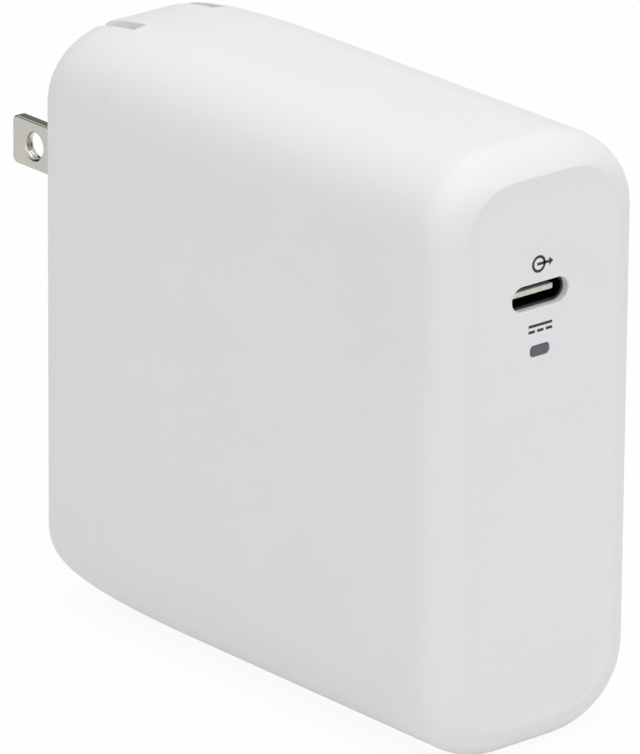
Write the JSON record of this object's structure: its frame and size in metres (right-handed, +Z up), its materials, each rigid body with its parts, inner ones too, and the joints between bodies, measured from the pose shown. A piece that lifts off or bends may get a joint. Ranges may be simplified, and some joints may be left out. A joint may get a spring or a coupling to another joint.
{
  "type": "laptop power adapter",
  "caption": "Flat wall power adapter with rounded edges, a USB-C port and indicator on its narrow front, and prongs on its back that fold into slots.",
  "frame": {"origin": "centre of the flat strip along the case's base", "axes": "+Z up, the port faces -Y, the prongs point along +Y, X across the case's thickness"},
  "size_m": [0.0328, 0.0918, 0.0774],
  "materials": {
    "case_plastic": "white moulded plastic, satin gloss",
    "rotor_plastic": "white moulded plastic",
    "nickel": "bright nickel plate on brass",
    "steel": "plain stamped steel",
    "copper": "copper",
    "aluminium": "plain aluminium",
    "board": "green solder mask",
    "ferrite": "dark ferrite",
    "tape": "yellow polyester tape or clear resin",
    "sleeve": "dark shrink sleeve",
    "yellow_case": "yellow moulded case",
    "blue_epoxy": "blue dipped epoxy",
    "chip": "black moulded epoxy",
    "pad": "grey-blue thermal pad",
    "film": "black insulating film",
    "light_guide": "smoked light guide",
    "lead_jacket": "silicone jacket"
  },
  "bodies": {
    "housing": {"front_shell": "case_plastic", "rear_cover": "case_plastic", "hinge_carrier": "rotor_plastic", "carrier_screw_upper": "steel", "carrier_screw_lower": "steel", "detent_spring": "steel", "contact_spring_left": "copper", "contact_spring_right": "copper", "lead_line": "lead_jacket", "lead_neutral": "lead_jacket", "usb_shell": "steel", "usb_tongue": "chip", "light_guide": "light_guide", "indicator_led": "tape", "port_board": "board", "board_header": "chip", "main_board": "board", "fuse": "tape", "varistor": "blue_epoxy", "filter_capacitor": "yellow_case", "choke_core": "ferrite", "choke_winding_line": "copper", "choke_winding_neutral": "copper", "bridge_rectifier": "chip", "heatsink": "aluminium", "boost_core": "ferrite", "boost_winding": "copper", "boost_capacitor": "yellow_case", "bulk_capacitor_1": "sleeve", "bulk_capacitor_2": "sleeve", "bulk_capacitor_3": "sleeve", "transformer_core": "ferrite", "transformer_winding": "tape", "power_switch": "chip", "isolation_capacitor": "blue_epoxy", "rectifier_chip": "chip", "output_capacitor_1": "aluminium", "output_capacitor_2": "aluminium", "switch_pad": "pad", "rectifier_pad": "pad", "transformer_pad": "pad", "heat_spreader_left": "aluminium", "heat_spreader_right": "aluminium", "insulating_sheet": "film"},
    "prongs": {"prong_rotor": "rotor_plastic", "blade_left": "nickel", "blade_right": "nickel"}
  },
  "joints": [
    {"name": "prong_fold", "type": "hinge", "parent": "housing", "child": "prongs", "pos_m": [0, 0.0333, 0.056], "axis": [1, 0, 0], "range_deg": [0, 90]}
  ]
}
